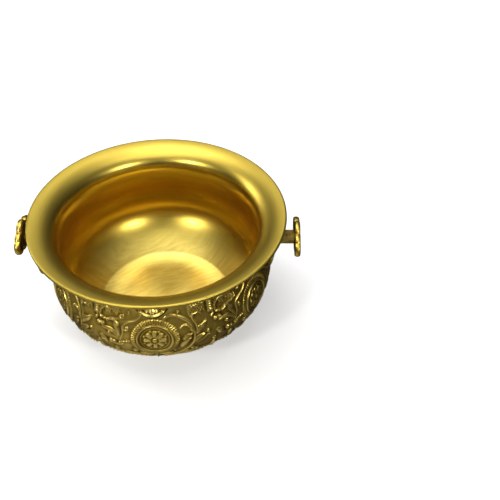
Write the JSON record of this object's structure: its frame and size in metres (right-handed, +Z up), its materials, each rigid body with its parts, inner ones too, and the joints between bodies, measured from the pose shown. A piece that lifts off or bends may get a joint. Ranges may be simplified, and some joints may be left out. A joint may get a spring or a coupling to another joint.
{
  "type": "two-eared brass basin",
  "caption": "Round flared basin of cast brass with a relief belly, turned foot ring and two cloud-plate side ears.",
  "frame": {"origin": "centre of the foot ring's resting plane, on the bowl's axis", "axes": "+Z up along the bowl's axis, +X through the right ear, -Y towards the front roundel"},
  "size_m": [0.2218, 0.2, 0.106],
  "materials": {
    "cast_brass": "antiqued cast relief outside, burnished inside",
    "turned_brass": "satin turned",
    "ear_brass": "antiqued satin"
  },
  "bodies": {
    "root": {"bowl_body": "cast_brass", "foot_ring": "turned_brass", "ear_root_left": "ear_brass", "ear_root_right": "ear_brass", "ear_strap_left": "ear_brass", "ear_strap_right": "ear_brass", "ear_plate_left": "ear_brass", "ear_plate_right": "ear_brass", "ear_rivet_left": "ear_brass", "ear_rivet_right": "ear_brass"}
  },
  "joints": []
}
